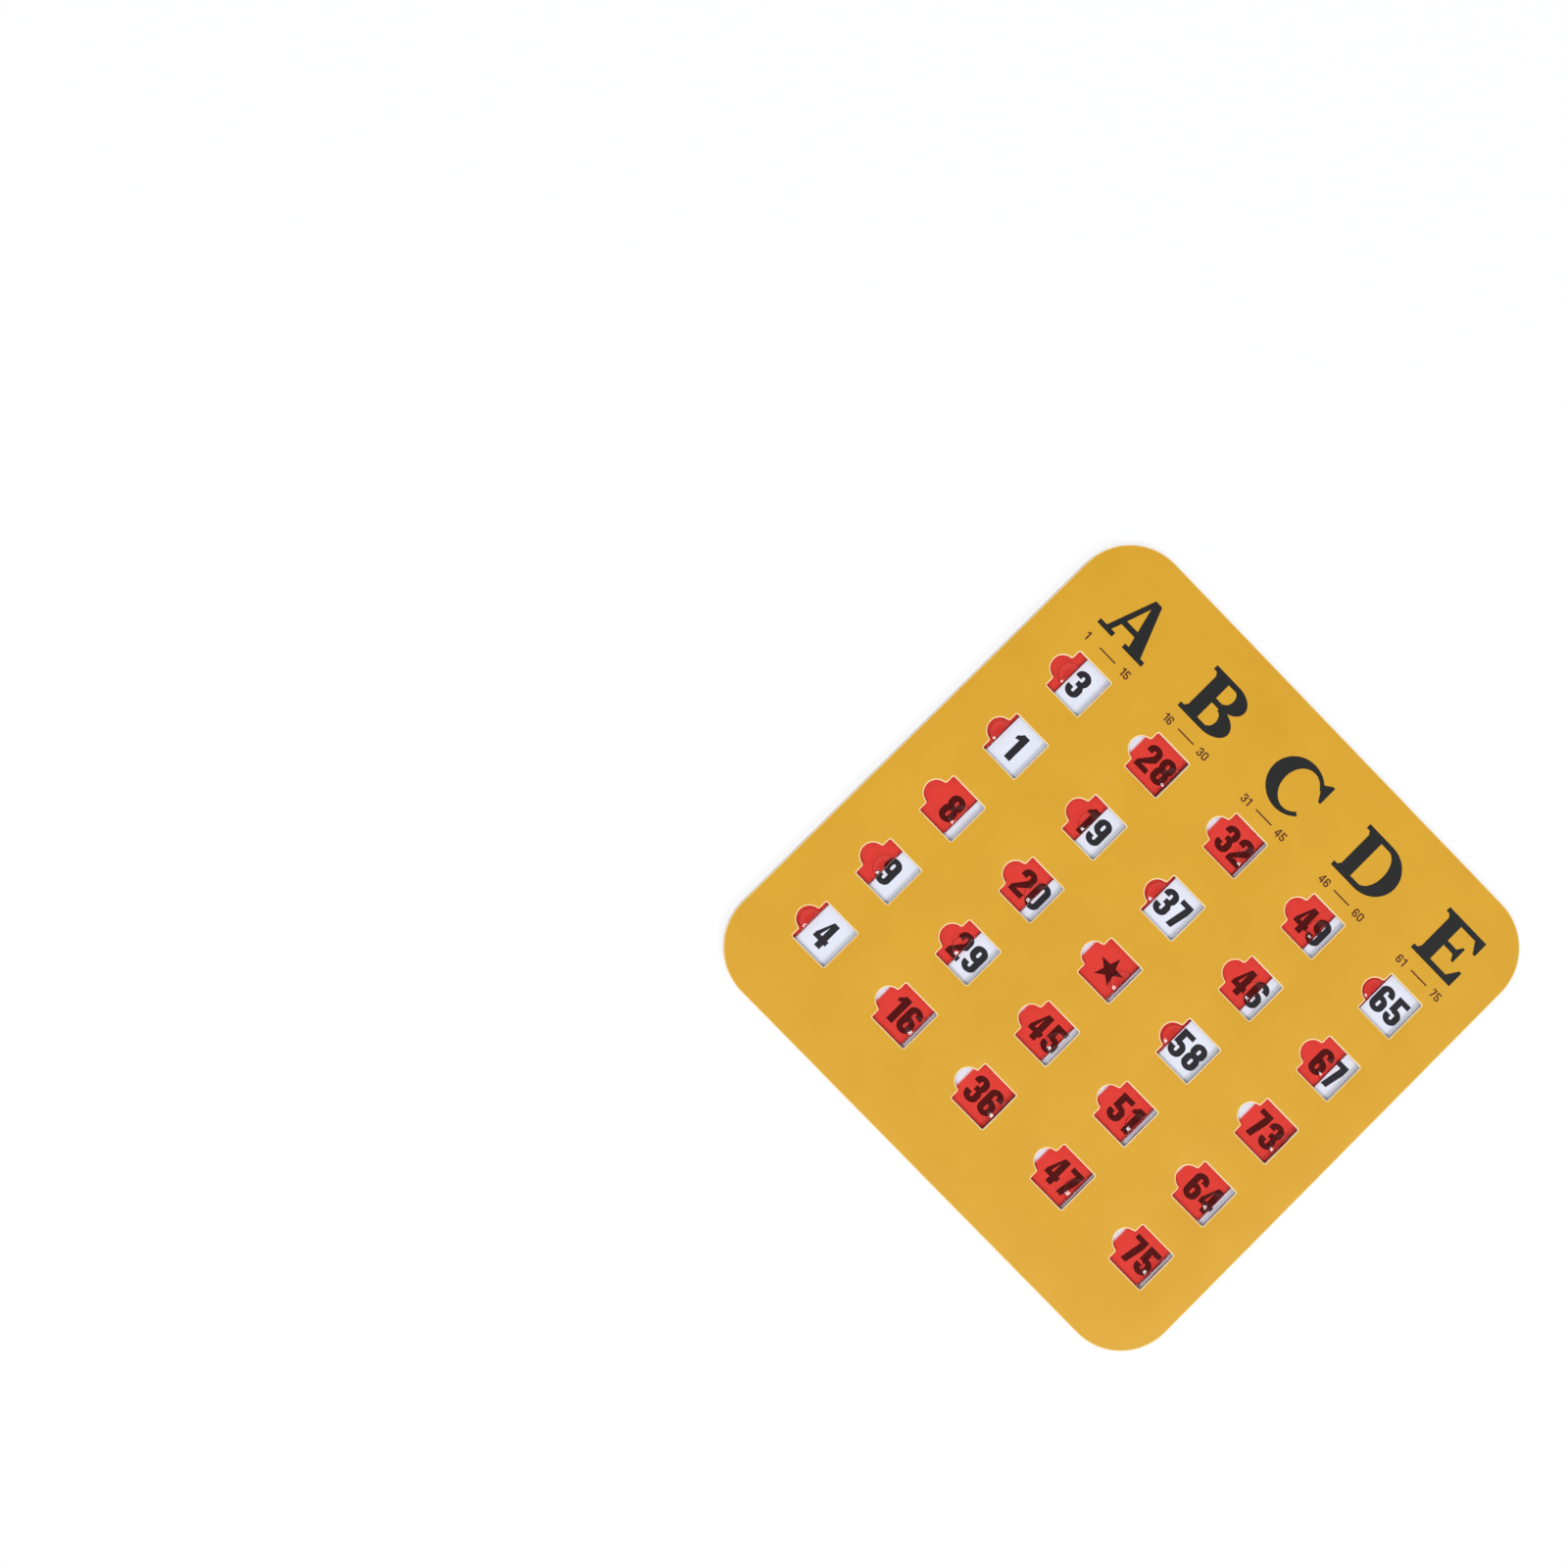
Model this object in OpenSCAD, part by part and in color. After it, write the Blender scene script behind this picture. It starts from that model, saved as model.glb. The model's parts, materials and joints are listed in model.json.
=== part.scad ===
// Bingo card with sliding shutters: five layers of board and paper glued into one flat card, with a
// tinted plastic shutter in a track behind each window. The card lies on its back, face up, with its
// text upright along +Y. The origin is the middle of the back.

/* [Layers] */
// Thickness of the back board
back_t = 1.0; // [0.6:0.1:2]
// Thickness of the printed number sheet
number_t = 0.2; // [0.1:0.05:0.5]
// Thickness of the guide board, which holds the shutter tracks
guide_t = 0.9; // [0.6:0.1:2]
// Thickness of the front board
front_t = 0.8; // [0.5:0.1:2]
// Thickness of the printed face sheet
face_t = 0.2; // [0.1:0.05:0.5]

/* [Card outline] */
// Radius of the card's corners
corner_r = 20; // [5:1:30]
// Wall from the card's left edge to the first column's tracks
left_wall = 3.25; // [1:0.05:20]
// Wall from the last column's tracks to the card's right edge
right_wall = 14.85; // [1:0.05:30]
// Heading band, from the card's top edge to the first row's tracks
heading_wall = 39.5; // [5:0.1:60]
// Wall from the last row's tracks to the card's bottom edge
bottom_wall = 22.0; // [5:0.1:40]

/* [Windows] */
// Width of a window, without its finger notch
window_w = 14.1; // [10:0.1:18]
// Height of a window
window_h = 15.1; // [12:0.1:20]
// Radius of a window's corners
window_corner_r = 0.5; // [0.2:0.1:1.5]
// Radius of the finger notch in the middle of a window's left edge
notch_r = 4.1; // [2.5:0.05:5]
// Radius where the finger notch runs into the window's left edge
blend_r = 0.8; // [0.2:0.1:1.2]
// Board left between the tracks of neighbouring columns
column_web = 5.85; // [2:0.05:15]
// Board left between the tracks of neighbouring rows
row_web = 9.8; // [2:0.1:20]

/* [Shutters] */
// How far a closed shutter's tail reaches past its window, into the notch
tail_show = 1.2; // [0.5:0.1:3.5]
// How far a closed shutter's leading edge goes under the front board
lead_lap = 0.3; // [0.1:0.05:1]
// How much of an open shutter's leading edge stays in its window
lead_show = 0.6; // [0.2:0.05:2]
// How far a shutter's long sides go under the front board
side_lap = 1.4; // [0.5:0.1:3]
// How far the finger nub stands above the face
nub_proud = 0.3; // [0:0.05:1]
// Rise of the dome on top of the finger nub
nub_crown = 0.8; // [0.1:0.05:1.3]

/* [Fits] */
// Gap above and below a shutter in its track
slide_gap = 0.1; // [0.05:0.05:0.2]
// Gap between a shutter's long side and its track
side_gap = 0.15; // [0.05:0.05:0.5]
// Gap between a shutter's end and its track at either end of its travel
end_gap = 0.2; // [0.05:0.05:0.5]
// Gap between the finger nub and the edge of its window and notch
nub_gap = 0.2; // [0.1:0.05:0.8]

/* [Hidden] */
$fn = 96;

// Where each shutter stands, from 0 for open to 1 for closed, by row from the top and column from the left
rest_shares = [
    [0.23, 0.97, 0.93, 0.71, 0.02],
    [0.06, 0.39, 0.05, 0.68, 0.57],
    [0.76, 0.67, 0.92, 0.05, 1.00],
    [0.38, 0.37, 0.85, 0.89, 0.85],
    [0.06, 0.92, 1.00, 0.94, 0.92]
];
row_count = len(rest_shares);
column_count = len(rest_shares[0]);

// The layers, stacked from the back
number_z = back_t;
guide_z = number_z + number_t;
front_z = guide_z + guide_t;
face_z = front_z + front_t;
card_t = face_z + face_t;

// A shutter's plate and its travel
plate_t = guide_t - 2 * slide_gap;
plate_l = tail_show + window_w + lead_lap;
plate_h = window_h + 2 * side_lap;
plate_z = guide_z + slide_gap;
travel = window_w + lead_lap - lead_show;

// Where a notch's blend is centred above and below the notch's own centre
blend_y = sqrt(pow(notch_r + blend_r, 2) - pow(blend_r, 2));

// The finger nub, half of a domed button that fits the notch when the shutter is open
nub_set = lead_lap + nub_gap;
nub_r = notch_r - nub_gap - max(0, nub_set - lead_show);
nub_h = card_t + nub_proud - plate_z - plate_t;
crown_r = (nub_r * nub_r + nub_crown * nub_crown) / (2 * nub_crown);

// The tracks, and the card that holds them all
track_l = plate_l + travel + 2 * end_gap;
track_h = plate_h + 2 * side_gap;
column_pitch = track_l + column_web;
row_pitch = track_h + row_web;
card_w = left_wall + column_count * track_l + (column_count - 1) * column_web + right_wall;
card_h = heading_wall + row_count * track_h + (row_count - 1) * row_web + bottom_wall;

// Left end of a column's tracks, left edge of its windows, and the middle of a row
function track_x(column) = left_wall + column * column_pitch - card_w / 2;
function window_x(column) = track_x(column) + end_gap + plate_l - lead_show;
function row_y(row) = card_h / 2 - heading_wall - track_h / 2 - row * row_pitch;

// Leading edge of a shutter where it stands
function lead_x(row, column) = window_x(column) + lead_show + rest_shares[row][column] * travel;

function shutter_name(row, column) = str("shutter_r", row + 1, "_c", column + 1);

// Outline of every layer: a rectangle with round corners
module card_outline() {
    square([card_w - 2 * corner_r, card_h], center = true);
    square([card_w, card_h - 2 * corner_r], center = true);
    for (side_x = [-1, 1], side_y = [-1, 1])
        translate([side_x * (card_w / 2 - corner_r), side_y * (card_h / 2 - corner_r)])
            circle(r = corner_r);
}

// Corner between the finger notch and a window's left edge, rounded off
module notch_blend() {
    difference() {
        polygon([[0, 0], [-blend_r, blend_y], [0, blend_y]]);
        translate([-blend_r, blend_y])
            circle(r = blend_r);
    }
}

// Outline of one window: a rectangle with round corners, and a half-round finger notch on its left edge
module window_outline() {
    translate([0, window_corner_r - window_h / 2])
        square([window_w, window_h - 2 * window_corner_r]);
    translate([window_corner_r, -window_h / 2])
        square([window_w - 2 * window_corner_r, window_h]);
    for (x = [window_corner_r, window_w - window_corner_r], side = [-1, 1])
        translate([x, side * (window_h / 2 - window_corner_r)])
            circle(r = window_corner_r);
    circle(r = notch_r);
    notch_blend();
    mirror([0, 1, 0])
        notch_blend();
}

// Outlines of all the windows
module window_outlines() {
    for (row = [0 : row_count - 1], column = [0 : column_count - 1])
        translate([window_x(column), row_y(row)])
            window_outline();
}

// Outlines of all the shutter tracks
module track_outlines() {
    for (row = [0 : row_count - 1], column = [0 : column_count - 1])
        translate([track_x(column), row_y(row) - track_h / 2])
            square([track_l, track_h]);
}

// Grey board that closes the back of the card
module back_board() {
    color("lightgray")
        linear_extrude(back_t)
            card_outline();
}

// White paper with the numbers, glued to the back board
module number_sheet() {
    color("white")
        translate([0, 0, number_z])
            linear_extrude(number_t)
                card_outline();
}

// Board with a die-cut track for each shutter
module guide_board() {
    color("tan")
        translate([0, 0, guide_z])
            linear_extrude(guide_t)
                difference() {
                    card_outline();
                    track_outlines();
                }
}

// Board with the windows, which keeps the shutters in their tracks
module front_board() {
    color("wheat")
        translate([0, 0, front_z])
            linear_extrude(front_t)
                difference() {
                    card_outline();
                    window_outlines();
                }
}

// Printed yellow paper on the front board, cut with it
module face_sheet() {
    color("goldenrod")
        translate([0, 0, face_z])
            linear_extrude(face_t)
                difference() {
                    card_outline();
                    window_outlines();
                }
}

// Half button that a fingertip pushes, with its flat side towards the leading edge, at x = 0
module finger_nub() {
    intersection() {
        cylinder(r = nub_r, h = plate_t + nub_h);
        translate([0, 0, plate_t + nub_h - crown_r])
            sphere(r = crown_r);
        translate([-nub_r, -nub_r, 0])
            cube([nub_r, 2 * nub_r, plate_t + nub_h]);
    }
}

// Tinted plastic plate with its finger nub, which slides along X in its track
module shutter(row, column) {
    color("red")
        translate([lead_x(row, column), row_y(row), plate_z]) {
            translate([-plate_l, -plate_h / 2, 0])
                cube([plate_l, plate_h, plate_t]);
            translate([-nub_set, 0, 0])
                finger_nub();
        }
}

back_board();
number_sheet();
guide_board();
front_board();
face_sheet();
for (row = [0 : row_count - 1], column = [0 : column_count - 1])
    shutter(row, column);
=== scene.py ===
import json
import math

import bmesh
import bpy
from mathutils import Matrix, Vector
from mathutils.geometry import delaunay_2d_cdt


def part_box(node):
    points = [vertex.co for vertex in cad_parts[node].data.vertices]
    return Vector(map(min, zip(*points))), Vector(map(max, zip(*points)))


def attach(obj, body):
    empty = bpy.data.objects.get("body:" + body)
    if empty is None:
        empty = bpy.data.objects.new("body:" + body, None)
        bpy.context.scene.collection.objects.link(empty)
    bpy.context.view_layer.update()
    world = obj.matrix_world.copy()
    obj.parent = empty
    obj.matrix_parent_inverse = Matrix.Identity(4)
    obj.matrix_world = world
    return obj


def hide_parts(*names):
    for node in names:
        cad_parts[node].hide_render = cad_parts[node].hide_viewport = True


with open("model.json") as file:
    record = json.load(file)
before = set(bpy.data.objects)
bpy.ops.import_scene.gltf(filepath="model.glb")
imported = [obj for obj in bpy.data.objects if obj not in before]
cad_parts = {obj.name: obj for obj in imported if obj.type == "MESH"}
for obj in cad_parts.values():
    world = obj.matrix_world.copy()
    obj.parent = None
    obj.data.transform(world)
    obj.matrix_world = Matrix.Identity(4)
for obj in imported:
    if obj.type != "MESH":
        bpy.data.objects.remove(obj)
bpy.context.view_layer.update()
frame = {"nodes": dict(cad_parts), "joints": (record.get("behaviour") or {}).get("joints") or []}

# Back board, guide board and front board
# Three sheets of pressed grey board, die-cut and glued face to face into one flat card. Their cut edges
# show the board's thin plies, and the open back shows its fibres.
MM = 0.001
BOARD_GREY = (0.50, 0.465, 0.405)
BOARD_FLECK = (0.33, 0.30, 0.255)
BOARD_CREAM = (0.70, 0.665, 0.59)
FLECKS_PER_M = 1400
PLIES_PER_M = 1500
PLY_STRETCH = (0.08, 0.08, 6)
PLY_SHARE = 0.5
BOARD_ROUGH = (0.78, 0.95)
FIBRE_DEEP = 0.04 * MM


def new_finish(name):
    """A node material, its Principled shader, and calls that add a node and join two sockets."""
    material = bpy.data.materials.new(name)
    material.use_nodes = True
    tree = material.node_tree

    def add(kind, **sockets):
        made = tree.nodes.new(kind)
        for socket, value in sockets.items():
            made.inputs[socket.replace("_", " ")].default_value = value
        return made

    return material, tree.nodes["Principled BSDF"], add, tree.links.new


def speckle(add, join, per_metre, stretch=(1, 1, 1), detail=4.0):
    """Grey noise in the piece's own space, with about so many marks a metre."""
    place = add("ShaderNodeTexCoord")
    spread = add("ShaderNodeMapping", Scale=stretch)
    noise = add("ShaderNodeTexNoise", Scale=per_metre, Detail=detail)
    join(place.outputs["Object"], spread.inputs["Vector"])
    join(spread.outputs["Vector"], noise.inputs["Vector"])
    return noise.outputs["Fac"]


def ramp(add, join, source, *stops):
    """Colours at positions from 0 to 1, read along a grey source."""
    scale = add("ShaderNodeValToRGB")
    points = scale.color_ramp.elements
    for _ in stops[2:]:
        points.new(0.5)
    for point, (position, colour) in zip(points, stops):
        point.position = position
        point.color = (*colour, 1)
    join(source, scale.inputs["Fac"])
    return scale.outputs["Color"]


def vary(add, join, source, low, high):
    """A grey source spread between two values, for roughness."""
    spread = add("ShaderNodeMapRange", To_Min=low, To_Max=high)
    join(source, spread.inputs["Value"])
    return spread.outputs["Result"]


def emboss(add, join, shader, source, deep):
    """A bump of that depth in metres, from a grey source."""
    bump = add("ShaderNodeBump", Strength=1.0, Distance=deep)
    join(source, bump.inputs["Height"])
    join(bump.outputs["Normal"], shader.inputs["Normal"])


def pressed_board(name, body, fleck):
    """Matte fibre board: fine flecks all over, with thin plies along the cut edges alone."""
    material, shader, add, join = new_finish(name)
    flecks = speckle(add, join, FLECKS_PER_M)
    plies = speckle(add, join, PLIES_PER_M, stretch=PLY_STRETCH)
    facing = add("ShaderNodeTexCoord")
    upward = add("ShaderNodeSeparateXYZ")
    level = add("ShaderNodeMath")
    level.operation = "ABSOLUTE"
    share = add("ShaderNodeMapRange", To_Min=PLY_SHARE, To_Max=0)
    grain = add("ShaderNodeMix")
    join(facing.outputs["Normal"], upward.inputs["Vector"])
    join(upward.outputs["Z"], level.inputs[0])
    join(level.outputs["Value"], share.inputs["Value"])
    join(share.outputs["Result"], grain.inputs["Factor"])
    join(flecks, grain.inputs["A"])
    join(plies, grain.inputs["B"])
    tone = ramp(add, join, grain.outputs["Result"], (0.36, fleck), (0.52, body), (0.8, body))
    join(tone, shader.inputs["Base Color"])
    join(vary(add, join, flecks, *BOARD_ROUGH), shader.inputs["Roughness"])
    emboss(add, join, shader, grain.outputs["Result"], FIBRE_DEEP)
    return material


def dress(node, material):
    """Gives a CAD node this material in place of its plain one."""
    slots = frame["nodes"][node].data.materials
    slots.clear()
    slots.append(material)


dress("back_board", pressed_board("grey_board", BOARD_GREY, BOARD_FLECK))
cream_board = pressed_board("cream_board", BOARD_CREAM, BOARD_GREY)
dress("guide_board", cream_board)
dress("front_board", cream_board)

# Number sheet
# Cool white uncoated paper, glued over the back board. It shows through the windows, with a faint mottle
# of fibres.
PAPER_WHITE = (0.79, 0.815, 0.915)
PAPER_SHADE = (0.755, 0.78, 0.88)
PAPER_FIBRES = 2600
PAPER_ROUGH = (0.62, 0.8)
PAPER_DEEP = 0.01 * MM

paper, shader, add, join = new_finish("number_paper")
fibres = speckle(add, join, PAPER_FIBRES)
join(ramp(add, join, fibres, (0.3, PAPER_SHADE), (0.6, PAPER_WHITE)), shader.inputs["Base Color"])
join(vary(add, join, fibres, *PAPER_ROUGH), shader.inputs["Roughness"])
emboss(add, join, shader, fibres, PAPER_DEEP)
dress("number_sheet", paper)

# Printed numbers
# Black condensed figures, one number in the middle of each window and a plain star in the centre window.
# They are printed on the number sheet as a thin film of ink.
NUMBERS = [
    [3, 28, 32, 49, 65],
    [1, 19, 37, 46, 67],
    [8, 20, None, 58, 73],
    [9, 29, 45, 51, 64],
    [4, 16, 36, 47, 75],
]
FIGURE_TALL = 9.35 * MM
FIGURE_WIDE = 5.4 * MM
FIGURE_STEM = 2.2 * MM
FIGURE_BEAM = 1.75 * MM
FIGURE_GAP = 0.75 * MM
PRINT_RIGHT = 0.15 * MM
PRINT_UP = 0.12 * MM
STAR_R = 5.0 * MM
STAR_WAIST = 0.4
WINDOW_W = 14.1 * MM
LEAD_SHOW = 0.6 * MM
INK_PROUD = 0.03 * MM
INK_SUNK = 0.01 * MM
INK_BLACK = (0.010, 0.0095, 0.014)
INK_WORN = (0.020, 0.0195, 0.026)
INK_GRAINS_PER_M = 3000
INK_ROUGH = (0.42, 0.65)
INK_SHINE = 0.25
INK_WELD = 1e-4
INK_FLAT = 0.01
BEND_STEPS = 18


def bar(x0, y0, x1, y1):
    return [(x0, y0), (x1, y0), (x1, y1), (x0, y1)]


def arc(x, y, wide, tall, start, stop, steps):
    """Points along part of an ellipse, from one angle to another in degrees."""
    turns = [math.radians(start + (stop - start) * k / steps) for k in range(steps + 1)]
    return [(x + wide * math.cos(turn), y + tall * math.sin(turn)) for turn in turns]


def bend(middle, outer, inner, start, stop):
    """A curved stroke between two ellipses about the same middle."""
    far = arc(*middle, *outer, start, stop, BEND_STEPS)
    return far + arc(*middle, *inner, stop, start, BEND_STEPS)


def figure(digit, w, h, s, b):
    """Width and strokes of one figure h tall, with upright strokes s wide and level strokes b thick."""
    outer = (w / 2, 0.41 * w)
    inner = (w / 2 - s, 0.41 * w - b)
    waist = 0.52 * h
    top = (w / 2, h - outer[1])
    base = (w / 2, outer[1])
    bowl = (w / 2, 0.60 * h - outer[1])
    crown = bend(top, outer, inner, 0, 180)
    foot = bend(base, outer, inner, 180, 360)
    if digit == 0:
        return w, [crown, foot, bar(0, base[1], s, top[1]), bar(w - s, base[1], w, top[1])]
    if digit == 1:
        n = 0.72 * w
        root = n - 1.1 * s
        flag = [(0, 0.69 * h), (root, 0.74 * h), (root, h), (0.62 * root, 0.91 * h), (0, 0.83 * h)]
        return n, [bar(root, 0, n, h), flag]
    if digit == 2:
        slope = [(w, 0.64 * h), (w - s, 0.64 * h), (0, 0.19 * h), (0, 0.5 * b), (0.34 * w, b), (w, 0.52 * h)]
        tip = bar(0, top[1] - 0.10 * h, s, top[1])
        return w, [crown, tip, bar(w - s, 0.63 * h, w, top[1]), slope, bar(0, 0, 0.97 * w, b)]
    if digit == 3:
        high, low = waist + 0.12 * h, waist - 0.12 * h
        knee = [(w - s, high), (w - 1.4 * s, waist), (w - s, low), (w, low), (w - 0.3 * s, waist), (w, high)]
        sides = [bar(w - s, high, w, top[1]), bar(w - s, base[1], w, low)]
        tips = [bar(0, top[1] - 0.08 * h, s, top[1]), bar(0, base[1], s, base[1] + 0.09 * h)]
        return w, [crown, foot, knee, *sides, *tips, bar(0.36 * w, waist - b / 2, w - s, waist + b / 2)]
    if digit == 4:
        back = 0.86 * w
        arm = [(back - s, h), (0, 0.36 * h), (0, 0.20 * h), (0.29 * w, 0.20 * h + b), (back - s, 0.78 * h)]
        return w, [bar(back - s, 0, back, h), bar(0, 0.20 * h, w, 0.20 * h + b), arm]
    if digit == 5:
        hook = bend(bowl, outer, inner, 0, 150)
        post = bar(0.05 * w, 0.43 * h, 0.05 * w + s, h)
        tip = bar(0, base[1], s, base[1] + 0.08 * h)
        return w, [bar(0.05 * w, h - b, 0.95 * w, h), post, hook, bar(w - s, base[1], w, bowl[1]), foot, tip]
    if digit == 6:
        loop = bend(bowl, outer, inner, 0, 180)
        tip = bar(w - s, top[1] - 0.07 * h, w, top[1])
        return w, [crown, tip, bar(0, base[1], s, top[1]), loop, bar(w - s, base[1], w, bowl[1]), foot]
    if digit == 7:
        n = 0.86 * w
        leg = [(n, h - b), (n - s, h - b), (0.18 * w, 0), (0.18 * w + s, 0), (n, h - 1.6 * b)]
        return n, [bar(0, h - b, n, h), leg]
    if digit == 8:
        over = (w / 2, waist - 0.45 * b + outer[1])
        under = (w / 2, waist + 0.45 * b - outer[1])
        loops = [bend(over, outer, inner, 180, 360), bend(under, outer, inner, 0, 180)]
        spans = ((base[1], under[1]), (over[1], top[1]))
        sides = [bar(x, y0, x + s, y1) for x in (0, w - s) for y0, y1 in spans]
        return w, [crown, foot, *loops, *sides]
    wide, strokes = figure(6, w, h, s, b)
    return wide, [[(w - x, h - y) for x, y in stroke] for stroke in strokes]


def number_strokes(number, w, h, s, b, gap):
    """Strokes of a whole number, centred on the origin."""
    strokes, reach = [], 0.0
    for character in str(number):
        wide, parts = figure(int(character), w, h, s, b)
        strokes += [[(x + reach, y - h / 2) for x, y in part] for part in parts]
        reach += wide + gap
    return [[(x - (reach - gap) / 2, y) for x, y in stroke] for stroke in strokes]


def add_piece(name, mesh, *materials, slot):
    """Puts a finished mesh in the scene as a piece with these materials. The slot is not used."""
    for material in materials:
        mesh.materials.append(material)
    piece = bpy.data.objects.new(name, mesh)
    bpy.context.scene.collection.objects.link(piece)
    return piece


def ink_film(name, marks, sheet_z, material, slot):
    """A film of ink on a sheet, from marks that are each a list of strokes and a place. Strokes merge."""
    film = bmesh.new()
    for strokes, (place_x, place_y) in marks:
        points, outlines = [], []
        for stroke in strokes:
            turn = sum(a[0] * b[1] - b[0] * a[1] for a, b in zip(stroke, stroke[1:] + stroke[:1]))
            outlines.append(list(range(len(points), len(points) + len(stroke))))
            points += [Vector(point) / MM for point in (stroke if turn > 0 else stroke[::-1])]
        corners, _, cells, _, _, owners = delaunay_2d_cdt(points, [], outlines, 0, INK_WELD, True)
        made = [film.verts.new((c.x * MM + place_x, c.y * MM + place_y, sheet_z - INK_SUNK)) for c in corners]
        for cell, owner in zip(cells, owners):
            if owner:
                film.faces.new([made[k] for k in cell])
    bmesh.ops.delete(film, geom=[v for v in film.verts if not v.link_faces], context="VERTS")
    bmesh.ops.dissolve_limit(film, angle_limit=INK_FLAT, verts=film.verts, edges=film.edges)
    raised = bmesh.ops.extrude_face_region(film, geom=film.faces[:])["geom"]
    upper = [v for v in raised if isinstance(v, bmesh.types.BMVert)]
    bmesh.ops.translate(film, verts=upper, vec=(0, 0, INK_SUNK + INK_PROUD))
    bmesh.ops.recalc_face_normals(film, faces=film.faces)
    mesh = bpy.data.meshes.new(name)
    film.to_mesh(mesh)
    film.free()
    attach(add_piece(name, mesh, material, slot=slot), "card")


def ink(name, body, worn):
    """Printed ink, slightly satin, with the sheet's grain showing in it."""
    material, shader, add, join = new_finish(name)
    grain = speckle(add, join, INK_GRAINS_PER_M)
    join(ramp(add, join, grain, (0.4, body), (0.75, worn)), shader.inputs["Base Color"])
    join(vary(add, join, grain, *INK_ROUGH), shader.inputs["Roughness"])
    shader.inputs["Specular IOR Level"].default_value = INK_SHINE
    return material


slides = {joint["child"]: joint for joint in frame["joints"]}
PLACES = [(row, column, f"shutter_r{row + 1}_c{column + 1}") for row in range(5) for column in range(5)]


def window_at(shutter):
    """Left edge and middle height of a window, from where its shutter's leading edge stands when open."""
    low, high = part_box(shutter)
    return high.x + slides[shutter]["range_m"][0] - LEAD_SHOW, (low.y + high.y) / 2


star = [
    (r * math.sin(math.pi * k / 5), r * math.cos(math.pi * k / 5))
    for k, r in enumerate([STAR_R, STAR_R * STAR_WAIST] * 5)
]
number_marks = []
for row, column, shutter in PLACES:
    left, middle = window_at(shutter)
    number = NUMBERS[row][column]
    strokes = [star] if number is None else number_strokes(
        number, FIGURE_WIDE, FIGURE_TALL, FIGURE_STEM, FIGURE_BEAM, FIGURE_GAP)
    number_marks.append((strokes, (left + WINDOW_W / 2 + PRINT_RIGHT, middle + PRINT_UP)))
number_ink = ink("number_ink", INK_BLACK, INK_WORN)
ink_film("number_print", number_marks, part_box("number_sheet")[1].z, number_ink, "number_paper")

# Shutters
# Thin plates of tinted clear plastic, each moulded in one with a half-button finger nub at its leading
# edge. They slide in the guide board's tracks, and the printed numbers show dark red through them. The lead
# edge and the nub's rim carry a deeper red tint, a painted shade for the dark lines along those edges.
PLATE_T = 0.7 * MM
PLATE_ROUND = 0.45 * MM
PLATE_BEVEL = 0.3 * MM
PLATE_CORNER = 0.8 * MM
NUB_R = 3.9 * MM
NUB_SET = 0.5 * MM
NUB_CORNER = 0.3 * MM
NUB_CROWN = 0.8 * MM
NUB_ROUND = 0.15 * MM
TINT = (1.0, 0.513, 0.458)
EDGE_SHADE_TINT = (0.56, 0.11, 0.11)
PLASTIC_RED = (0.95, 0.035, 0.033)
PLASTIC_DEEP = (0.84, 0.025, 0.024)
HAZE_SHARE = 0.065
HAZE_ROUGH = 0.35
PLASTIC_IOR = 1.5
SHEEN_ROUGH = 0.08
RIPPLES_PER_M = 320
RIPPLE_DEEP = 0.01 * MM
DOME_SHARES = (0.92, 0.82, 0.7, 0.55, 0.4, 0.25, 0.1)
SHUTTER_CREASE = 32
CAP_WELD = 1e-5


def slab_ring(low_x, high_x, half_y, corner, inset, z):
    """Points round a rectangle with round corners, drawn in by an inset, at one height."""
    r = corner - inset
    ring = []
    for x, y, start in (
        (low_x + corner, corner - half_y, 180), (high_x - corner, corner - half_y, 270),
        (high_x - corner, half_y - corner, 0), (low_x + corner, half_y - corner, 90),
    ):
        ring += arc(x, y, r, r, start, start + 90, 4)
    return [(x, y, z) for x, y in ring]


def nub_ring(inset):
    """Plan of the finger nub drawn in by an inset: a half disc with round corners, flat to the lead edge."""
    r, away = NUB_R - inset, max(NUB_CORNER, inset)
    c = away - inset
    corner_y = math.sqrt((NUB_R - away) ** 2 - away ** 2)
    lean = math.degrees(math.atan2(corner_y, away))
    upper = arc(-away, corner_y, c, c, 0, 180 - lean, 6)
    back = arc(0, 0, r, r, 180 - lean, 180 + lean, 28)
    lower = arc(-away, -corner_y, c, c, 180 + lean, 360, 6)
    flat = [(-inset, corner_y * (k / 8 - 1)) for k in range(1, 16)]
    return [(x - NUB_SET, y) for x, y in upper[:-1] + back + lower[1:] + flat]


def bridge(mesh, rings):
    """Quads between one ring of points and the next, all with as many points. Returns them in bands."""
    bands = []
    for lower, upper in zip(rings, rings[1:]):
        band = []
        for k in range(len(lower)):
            corners = (lower[k - 1], lower[k], upper[k], upper[k - 1])
            band.append(mesh.faces.new(corners))
        bands.append(band)
    return bands


def cap_between(mesh, outer, holes):
    """Flat triangles between an outer ring of vertices and the rings inside it."""
    rings = [outer, *holes]
    corners = [v for ring in rings for v in ring]
    outlines, start = [], 0
    for ring in rings:
        outlines.append(list(range(start, start + len(ring))))
        start += len(ring)
    flat = [v.co.xy / MM for v in corners]
    _, _, cells, origins, _, owners = delaunay_2d_cdt(flat, [], outlines, 0, CAP_WELD, True)
    for cell, owner in zip(cells, owners):
        if list(owner) == [0]:
            mesh.faces.new([corners[origins[k][0]] for k in cell])


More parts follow.
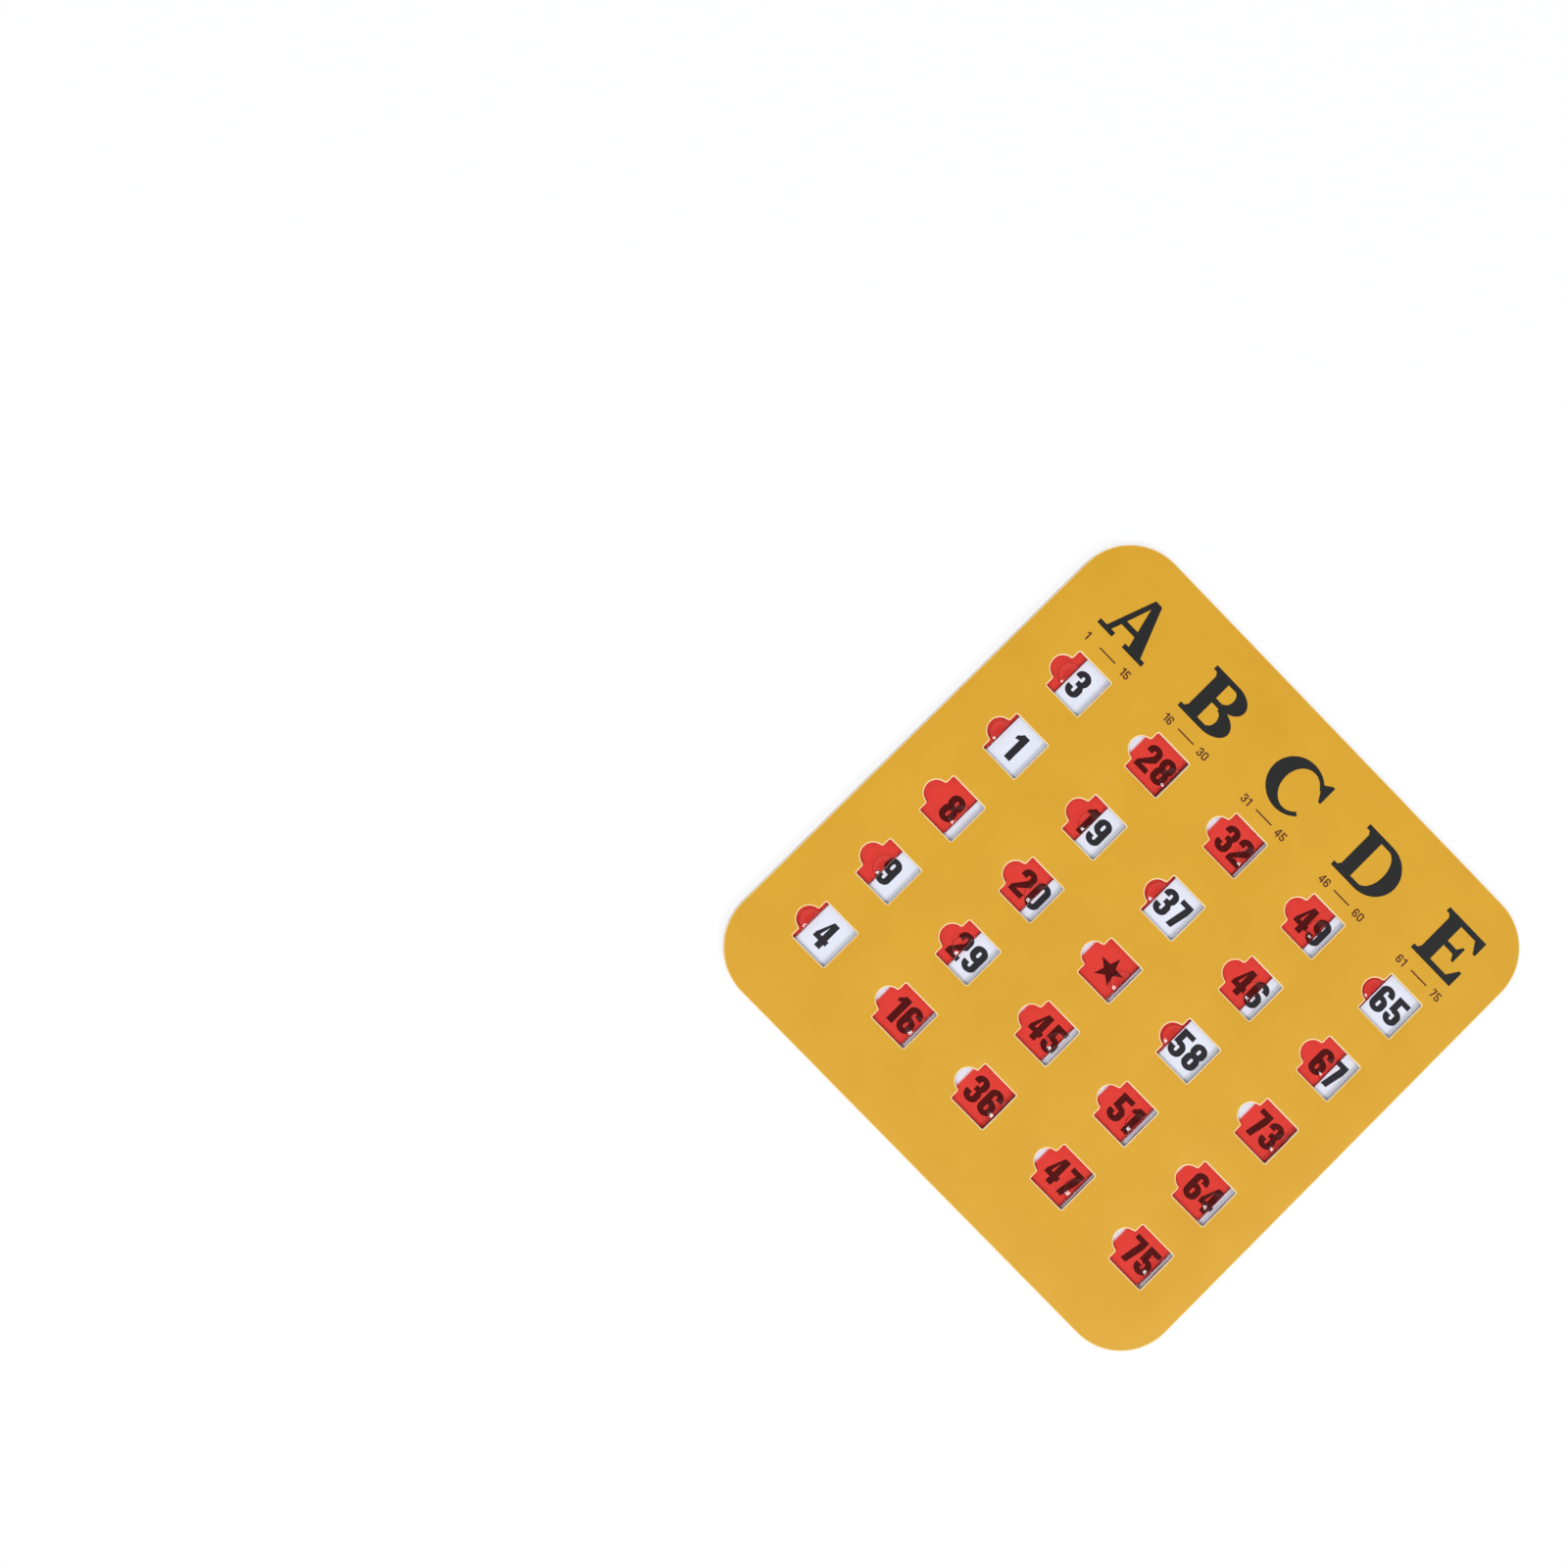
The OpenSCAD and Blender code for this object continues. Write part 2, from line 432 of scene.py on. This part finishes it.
def finish_mesh(mesh, name, crease):
    """Closes a bmesh into a mesh whose faces are smooth up to an angle in degrees."""
    bmesh.ops.remove_doubles(mesh, verts=mesh.verts, dist=1e-7)
    bmesh.ops.recalc_face_normals(mesh, faces=mesh.faces)
    made = bpy.data.meshes.new(name)
    mesh.to_mesh(made)
    mesh.free()
    made.polygons.foreach_set("use_smooth", [True] * len(made.polygons))
    made.set_sharp_from_angle(angle=math.radians(crease))
    return made


low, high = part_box(PLACES[0][2])
plate_l, half_h, nub_top = high.x - low.x, (high.y - low.y) / 2, high.z - low.z
crown_r = (NUB_R ** 2 + NUB_CROWN ** 2) / (2 * NUB_CROWN)
shape = bmesh.new()


def crown_z(x, y):
    return nub_top - crown_r + math.sqrt(crown_r ** 2 - (x + NUB_SET) ** 2 - y ** 2)


def put(ring):
    return [shape.verts.new(point) for point in ring]


profile = []
for turn in range(0, 91, 30):
    turn = math.radians(turn)
    profile.append((PLATE_ROUND * (1 - math.sin(turn)), PLATE_BEVEL * (1 - math.cos(turn))))
profile += [(inset, PLATE_T - z) for inset, z in reversed(profile)]
edges = [put(slab_ring(-plate_l, 0, half_h, PLATE_CORNER, inset, z)) for inset, z in profile]
shade_rims = [quad for band in bridge(shape, edges) for quad in band]
shade_rims = [quad for quad in shade_rims if quad.calc_center_median().x > -PLATE_CORNER]
shape.faces.new(edges[0])
walls = [put([(x, y, PLATE_T) for x, y in nub_ring(0)])]
for turn in range(0, 91, 30):
    inset = NUB_ROUND * (1 - math.cos(math.radians(turn)))
    drop = NUB_ROUND * (1 - math.sin(math.radians(turn)))
    walls.append(put([(x, y, crown_z(x, y) - drop) for x, y in nub_ring(inset)]))
core = Vector((-NUB_SET - NUB_R / 2, 0))
for share in DOME_SHARES:
    ring = [core.lerp(Vector(point), share) for point in nub_ring(NUB_ROUND)]
    walls.append(put([(p.x, p.y, crown_z(p.x, p.y)) for p in ring]))
shade_rims += [quad for band in bridge(shape, walls)[:4] for quad in band]
# These rim quads take the deeper tint: painted shade along the lead edge and round the nub.
for quad in shade_rims:
    quad.material_index = 1
shape.faces.new(walls[-1])
cap_between(shape, edges[-1], [walls[0]])
shutter_mesh = finish_mesh(shape, "shutter", SHUTTER_CREASE)


def tinted_plastic(name, tint):
    """Clear tinted plastic with a trace of haze and a gloss on its outer side."""
    material, shader, add, join = new_finish(name)
    ripple = speckle(add, join, RIPPLES_PER_M)
    join(ramp(add, join, ripple, (0.35, PLASTIC_DEEP), (0.65, PLASTIC_RED)), shader.inputs["Base Color"])
    shader.inputs["Roughness"].default_value = HAZE_ROUGH
    clear = add("ShaderNodeBsdfTransparent", Color=(*tint, 1))
    tinted = add("ShaderNodeMixShader", Fac=HAZE_SHARE)
    join(clear.outputs["BSDF"], tinted.inputs[1])
    join(shader.outputs["BSDF"], tinted.inputs[2])
    sheen = add("ShaderNodeBsdfGlossy", Roughness=SHEEN_ROUGH)
    emboss(add, join, sheen, ripple, RIPPLE_DEEP)
    mirror = add("ShaderNodeFresnel", IOR=PLASTIC_IOR)
    outer = add("ShaderNodeMixShader")
    join(mirror.outputs["Fac"], outer.inputs[0])
    join(tinted.outputs["Shader"], outer.inputs[1])
    join(sheen.outputs["BSDF"], outer.inputs[2])
    within = add("ShaderNodeNewGeometry")
    surface = add("ShaderNodeMixShader")
    join(within.outputs["Backfacing"], surface.inputs[0])
    join(outer.outputs["Shader"], surface.inputs[1])
    join(clear.outputs["BSDF"], surface.inputs[2])
    join(surface.outputs["Shader"], material.node_tree.nodes["Material Output"].inputs["Surface"])
    return material


shutter_mesh.materials.append(tinted_plastic("shutter_plastic", TINT))
# The second, deeper tint is painted shade for the plate's lead edge and the nub's rim.
shutter_mesh.materials.append(tinted_plastic("shutter_edge_shade", EDGE_SHADE_TINT))
for row, column, node in PLACES:
    low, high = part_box(node)
    shutter = add_piece(f"{node}_moulding", shutter_mesh, slot="shutter_plastic")
    shutter.location = (high.x, (low.y + high.y) / 2, low.z)
    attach(shutter, node)
    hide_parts(node)

# Face sheet
# Yellow printed paper with a satin coat, glued over the front board and die-cut with it. The die rolls its
# edges down at the rim and round every window. There the print is painted paler: partly worn print and paper
# core, partly a painted highlight where the rolled edges catch the light.
WINDOW_H = 15.1 * MM
WINDOW_CORNER = 0.5 * MM
NOTCH_R = 4.1 * MM
BLEND_R = 0.8 * MM
CARD_CORNER = 20.0 * MM
ROLL_WIDE = 0.55 * MM
ROLL_DEEP = 0.18 * MM
ROLL_STEPS = 4
FACE_YELLOW = (0.708, 0.379, 0.022)
FACE_DEEP = (0.682, 0.359, 0.019)
# Pale rim colours: partly worn print and bare paper core, partly a painted highlight of the lit rolled edges.
EDGE_PALE_HIGHLIT = (0.94, 0.68, 0.33)
EDGE_CORE_HIGHLIT = (0.93, 0.75, 0.46)
FACE_SHINE = 0.3
FACE_ROUGH = (0.38, 0.52)
DRIFTS_PER_M = 55
COAT_PER_M = 140
TOOTH_PER_M = 1900
TOOTH_DEEP = 0.005 * MM
FACE_CREASE = 50


def window_ring(left, middle, grow):
    """Points round one window and its finger notch, so far outside the cut."""
    c, b, h = WINDOW_CORNER, BLEND_R, WINDOW_H / 2
    blend_y = math.sqrt((NOTCH_R + b) ** 2 - b ** 2)
    lean = math.degrees(math.atan2(blend_y, b))
    ring = []
    x0, x1, y0, y1 = c, WINDOW_W - c, c - h, h - c
    for x, y, start in ((x0, y0, 180), (x1, y0, 270), (x1, y1, 0), (x0, y1, 90)):
        ring += arc(x, y, c + grow, c + grow, start, start + 90, 4)
    ring += arc(-b, blend_y, b - grow, b - grow, 0, -lean, 5)[:-1]
    ring += arc(0, 0, NOTCH_R + grow, NOTCH_R + grow, 180 - lean, 180 + lean, 24)
    ring += arc(-b, -blend_y, b - grow, b - grow, lean, 0, 5)[1:]
    return [(left + x, middle + y) for x, y in ring]


def rim_ring(inset):
    """Points round the card, so far inside its rim."""
    half_x, half_y, r = face_high.x - CARD_CORNER, face_high.y - CARD_CORNER, CARD_CORNER - inset
    ring = []
    corners = ((-half_x, -half_y, 180), (half_x, -half_y, 270), (half_x, half_y, 0), (-half_x, half_y, 90))
    for x, y, start in corners:
        ring += arc(x, y, r, r, start, start + 90, 24)
    return ring


def rolled_edge(outline):
    """Rings of vertices up a cut edge and over its rolled top, from an outline that can be drawn back."""
    rings = [[sheet.verts.new((x, y, face_low.z)) for x, y in outline(0)]]
    for step in range(ROLL_STEPS + 1):
        turn = math.radians(90 * step / ROLL_STEPS)
        z = face_high.z - ROLL_DEEP * (1 - math.sin(turn))
        rings.append([sheet.verts.new((x, y, z)) for x, y in outline(ROLL_WIDE * (1 - math.cos(turn)))])
    bands = bridge(sheet, rings)
    # The cut wall and rolled shoulder take the second, paler finish: worn print with a painted highlight.
    for band in bands[:-1]:
        for quad in band:
            quad.material_index = 1
    return rings[0], rings[-1]


face_low, face_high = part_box("face_sheet")
sheet = bmesh.new()
edges = [rolled_edge(rim_ring)]
for row, column, shutter in PLACES:
    left, middle = window_at(shutter)
    edges.append(rolled_edge(lambda grow, left=left, middle=middle: window_ring(left, middle, grow)))
for level in (0, 1):
    cap_between(sheet, edges[0][level], [pair[level] for pair in edges[1:]])


def satin_paper(name, deep, bright):
    """Coated printed paper: slow drifts of tone, a fine tooth and an uneven satin coat."""
    material, shader, add, join = new_finish(name)
    drift = speckle(add, join, DRIFTS_PER_M)
    tooth = speckle(add, join, TOOTH_PER_M)
    join(ramp(add, join, drift, (0.35, deep), (0.65, bright)), shader.inputs["Base Color"])
    join(vary(add, join, speckle(add, join, COAT_PER_M), *FACE_ROUGH), shader.inputs["Roughness"])
    emboss(add, join, shader, tooth, TOOTH_DEEP)
    shader.inputs["Specular IOR Level"].default_value = FACE_SHINE
    return material


print_yellow = satin_paper("face_paper", FACE_DEEP, FACE_YELLOW)
print_worn_and_highlit = satin_paper("face_edge_worn_and_highlit", EDGE_PALE_HIGHLIT, EDGE_CORE_HIGHLIT)
face_mesh = finish_mesh(sheet, "face_print", FACE_CREASE)
face = add_piece("face_print", face_mesh, print_yellow, print_worn_and_highlit, slot="face_paper")
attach(face, "card")
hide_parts("face_sheet")

# Heading
# Bold serif column letters A to E over the columns, and under each a small line with the first and last
# number of its column. The letters are printed in dark slate ink and the numbers in brown ink.
LETTER_TALL = 18.0 * MM
LETTER_STEM = 4.9 * MM
LETTER_HAIR = 1.9 * MM
LETTER_SERIF = 1.65 * MM
LETTER_DOWN = 21.7 * MM
RANGE_DOWN = 35.8 * MM
RANGE_TALL = 2.9 * MM
RANGE_WIDE = 1.75 * MM
RANGE_STROKE = 0.5 * MM
RANGE_GAP = 0.35 * MM
RANGE_DASH = 7.0 * MM
RANGE_SPAN = 19.2 * MM
COLUMN_NUMBERS = 15
SLATE = (0.010, 0.0105, 0.0105)
SLATE_WORN = (0.017, 0.0175, 0.0170)
BROWN = (0.11, 0.028, 0.008)
BROWN_WORN = (0.16, 0.045, 0.014)


def letter(sign, h, s, t, f):
    """Width and strokes of one bold serif capital: height h, thick strokes s, hairlines t, serifs f thick."""
    left = 0.12 * h
    right = left + s
    stem = [bar(left, 0, right, h), bar(0, 0, right, f), bar(0, h - f, right, h)]
    stem += [[(left, y), (left - 0.5 * f, y), (left, y + up * 0.7 * f)] for y, up in ((f, 1), (h - f, -1))]
    if sign == "A":
        w = 1.10 * h
        thin = [(0.43 * w, h), (0.52 * w, h), (0.16 * w + 0.55 * t, 0), (0.16 * w - 0.55 * t, 0)]
        thick = [(0.43 * w, h), (0.57 * w, h), (0.80 * w + 0.56 * s, 0), (0.80 * w - 0.56 * s, 0)]
        beam = bar(0.27 * w, 0.28 * h, 0.66 * w, 0.28 * h + t)
        return w, [thin, thick, beam, bar(0, 0, 0.33 * w, f), bar(0.56 * w, 0, w, f)]
    if sign == "B":
        w = 1.0 * h
        high, low = (0.38 * w, 0.255 * h), (0.44 * w, 0.27 * h)
        upper = bend((0.56 * w, 0.745 * h), high, (high[0] - 1.05 * s, high[1] - t), -90, 90)
        lower = bend((0.56 * w, 0.27 * h), low, (low[0] - 1.15 * s, low[1] - t), -90, 90)
        ties = [bar(right, y, 0.56 * w, y + t) for y in (0, 0.47 * h, h - t)]
        return w, [*stem, upper, lower, *ties]
    if sign == "C":
        w = 1.08 * h
        belly = 1.1 * s
        far = arc(0.5 * w, 0.5 * h, 0.5 * w, 0.52 * h, 34, 318, 2 * BEND_STEPS)
        wide = 0.5 * w - (belly + t) / 2
        near = arc(0.5 * w + (belly - t) / 2, 0.5 * h, wide, 0.52 * h - t, 314, 38, 2 * BEND_STEPS)
        beak = [
            (0.80 * w, 0.86 * h), (0.95 * w, 0.60 * h), (w, 0.60 * h), (w, 0.98 * h), (0.955 * w, 0.98 * h),
        ]
        return w, [far + near, beak]
    if sign == "D":
        w = 1.12 * h
        bowl = bend((0.52 * w, 0.5 * h), (0.48 * w, 0.5 * h), (0.48 * w - 1.1 * s, 0.5 * h - t), -90, 90)
        return w, [*stem, bowl, bar(right, 0, 0.52 * w, t), bar(right, h - t, 0.52 * w, h)]
    w = 0.98 * h
    top, middle = 0.95 * w, 0.74 * w
    arms = [
        bar(right, 0, w, t), bar(right, h - t, top, h),
        bar(right, 0.5 * h - t / 2, middle, 0.5 * h + t / 2),
    ]
    tips = [
        [(w, 0), (w, 0.32 * h), (w - 0.5 * t, 0.32 * h), (w - 0.26 * h, 0)],
        [(top, h), (top, 0.70 * h), (top - 0.5 * t, 0.70 * h), (top - 0.26 * h, h)],
        [(middle, 0.34 * h), (middle, 0.66 * h), (middle - 0.4 * t, 0.66 * h), (middle - 0.14 * h, 0.5 * h),
         (middle - 0.4 * t, 0.34 * h)],
    ]
    return w, [*stem, *arms, *tips]


letter_marks, range_marks = [], []
for row, column, shutter in PLACES[:5]:
    middle_x = window_at(shutter)[0] + WINDOW_W / 2
    wide, strokes = letter("ABCDE"[column], LETTER_TALL, LETTER_STEM, LETTER_HAIR, LETTER_SERIF)
    strokes = [[(x - wide / 2, y - LETTER_TALL / 2) for x, y in stroke] for stroke in strokes]
    letter_marks.append((strokes, (middle_x, face_high.y - LETTER_DOWN)))
    line_y = face_high.y - RANGE_DOWN
    for side, number in ((-1, COLUMN_NUMBERS * column + 1), (1, COLUMN_NUMBERS * (column + 1))):
        strokes = number_strokes(number, RANGE_WIDE, RANGE_TALL, RANGE_STROKE, RANGE_STROKE, RANGE_GAP)
        reach = max(x for stroke in strokes for x, _ in stroke)
        range_marks.append((strokes, (middle_x + side * (RANGE_SPAN / 2 - reach), line_y)))
    dash = bar(-RANGE_DASH / 2, -RANGE_STROKE / 2, RANGE_DASH / 2, RANGE_STROKE / 2)
    range_marks.append(([dash], (middle_x, line_y)))
ink_film("heading_print", letter_marks, face_high.z, ink("heading_ink", SLATE, SLATE_WORN), "face_paper")
ink_film("range_print", range_marks, face_high.z, ink("range_ink", BROWN, BROWN_WORN), "face_paper")

# Table, lamps and camera
# A white table under the card, soft light all round from under a darker ceiling, a broad lamp to the
# card's right, a small one beyond its foot that lights the finger nubs, and the camera nearly overhead.
TABLE_HALF = 3.0
TABLE_WHITE = (0.97, 0.97, 0.97)
TABLE_ROUGH = 0.9
TABLE_DROP = 0.1 * MM
TABLE_LIFT = 0.8
SKY_STRENGTH = 0.62
SKY_ZENITH = 0.15
SKY_FADE = (0.82, 0.94)
SKY_BLUE = (0.975, 0.985, 1.03)
SIDE_PLACE = (3.76, -0.66, 4.88)
SIDE_SIZE = 2.4
SIDE_POWER = 140.0
FOOT_PLACE = (0.03, -1.93, 3.50)
FOOT_SIZE = 0.9
FOOT_POWER = 50.0
CAMERA_PLACE = (-141.35 * MM, -74.85 * MM, 679.6 * MM)
CAMERA_AIM = (-112.25 * MM, -41.05 * MM, 3.1 * MM)
CAMERA_UP = (-0.7145, 0.6996, 0.0042)
LENS_MM = 50.0
SENSOR_MM = 36.0

table_mesh = bpy.data.meshes.new("table")
corners = [(x * TABLE_HALF, y * TABLE_HALF, -TABLE_DROP) for x, y in ((-1, -1), (1, -1), (1, 1), (-1, 1))]
table_mesh.from_pydata(corners, [], [(0, 1, 2, 3)])
table = bpy.data.objects.new("table", table_mesh)
bpy.context.scene.collection.objects.link(table)
table_white, shader, add, join = new_finish("table_white")
shader.inputs["Base Color"].default_value = (*TABLE_WHITE, 1)
shader.inputs["Roughness"].default_value = TABLE_ROUGH
rays = add("ShaderNodeLightPath")
seen = rays.outputs["Is Camera Ray"]
for kind in ("Is Glossy Ray", "Is Transmission Ray"):
    either = add("ShaderNodeMath")
    either.operation = "MAXIMUM"
    join(seen, either.inputs[0])
    join(rays.outputs[kind], either.inputs[1])
    seen = either.outputs["Value"]
lift = add("ShaderNodeMath")
lift.operation = "MULTIPLY"
lift.inputs[1].default_value = TABLE_LIFT
join(seen, lift.inputs[0])
glow = add("ShaderNodeEmission")
surface = add("ShaderNodeMixShader")
join(lift.outputs["Value"], surface.inputs[0])
join(shader.outputs["BSDF"], surface.inputs[1])
join(glow.outputs["Emission"], surface.inputs[2])
join(surface.outputs["Shader"], table_white.node_tree.nodes["Material Output"].inputs["Surface"])
table_mesh.materials.append(table_white)


def lamp(name, place, size, power):
    """A square soft lamp that faces the middle of the card."""
    light = bpy.data.lights.new(name, "AREA")
    light.size = size
    light.energy = power
    held = bpy.data.objects.new(name, light)
    held.location = place
    held.rotation_euler = (-Vector(place)).to_track_quat("-Z", "Y").to_euler()
    bpy.context.scene.collection.objects.link(held)


lamp("side_lamp", SIDE_PLACE, SIDE_SIZE, SIDE_POWER)
lamp("foot_lamp", FOOT_PLACE, FOOT_SIZE, FOOT_POWER)
sky = bpy.data.worlds.new("studio")
sky.use_nodes = True
sky_nodes, join = sky.node_tree.nodes, sky.node_tree.links.new
sky_nodes["Background"].inputs["Color"].default_value = (*SKY_BLUE, 1)
aim = sky_nodes.new("ShaderNodeTexCoord")
height = sky_nodes.new("ShaderNodeSeparateXYZ")
fade = sky_nodes.new("ShaderNodeMapRange")
for socket, value in zip(("From Min", "From Max", "To Min", "To Max"), (*SKY_FADE, SKY_STRENGTH, SKY_ZENITH)):
    fade.inputs[socket].default_value = value
join(aim.outputs["Generated"], height.inputs["Vector"])
join(height.outputs["Z"], fade.inputs["Value"])
join(fade.outputs["Result"], sky_nodes["Background"].inputs["Strength"])
bpy.context.scene.world = sky

lens = bpy.data.cameras.new("camera")
lens.lens = LENS_MM
lens.sensor_width = SENSOR_MM
camera = bpy.data.objects.new("camera", lens)
camera.location = CAMERA_PLACE
back = (Vector(CAMERA_PLACE) - Vector(CAMERA_AIM)).normalized()
side = Vector(CAMERA_UP).cross(back).normalized()
camera.rotation_euler = Matrix((side, back.cross(side), back)).transposed().to_euler()
bpy.context.scene.collection.objects.link(camera)
bpy.context.scene.camera = camera
bpy.context.scene.view_settings.view_transform = "Standard"
